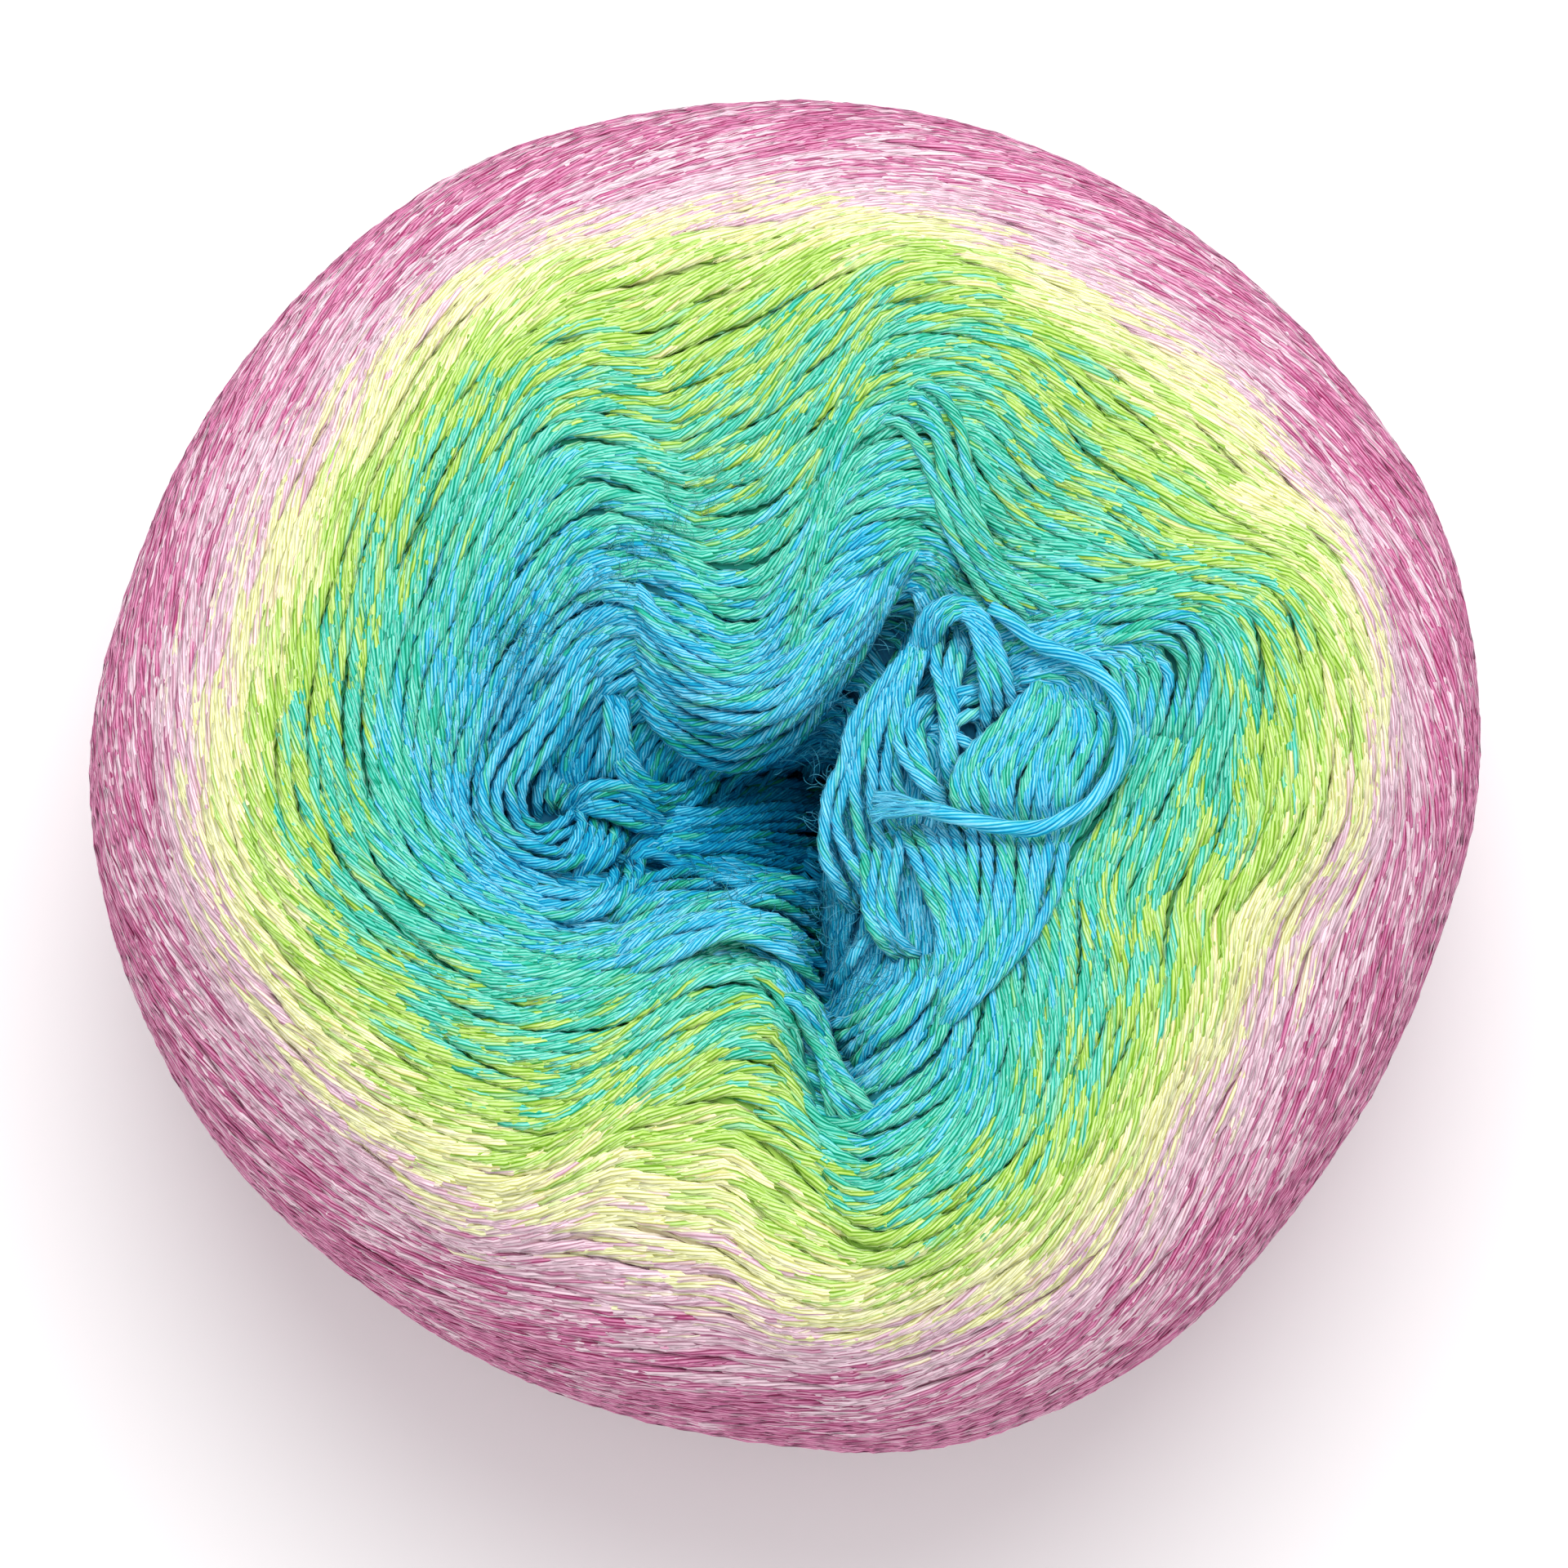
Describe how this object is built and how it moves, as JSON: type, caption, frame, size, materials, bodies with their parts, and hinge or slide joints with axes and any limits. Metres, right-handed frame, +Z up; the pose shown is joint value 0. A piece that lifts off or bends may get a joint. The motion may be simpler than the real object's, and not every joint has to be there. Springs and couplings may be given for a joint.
{
  "type": "yarn cake",
  "caption": "Round wound cake of soft gradient yarn, pink at the rim to blue inside, with slumped inner folds round a well and a short loose end.",
  "frame": {"origin": "on the resting face, under the middle of the cake's outline", "axes": "+Z up along the winding axis, +X to the right and +Y away from the viewer in the picture"},
  "size_m": [0.1403, 0.1365, 0.0862],
  "materials": {
    "wound_yarn": "soft matt twisted yarn",
    "loose_yarn": "soft matt twisted yarn"
  },
  "bodies": {
    "root": {"cake": "wound_yarn", "loose_end": "loose_yarn"}
  },
  "joints": []
}
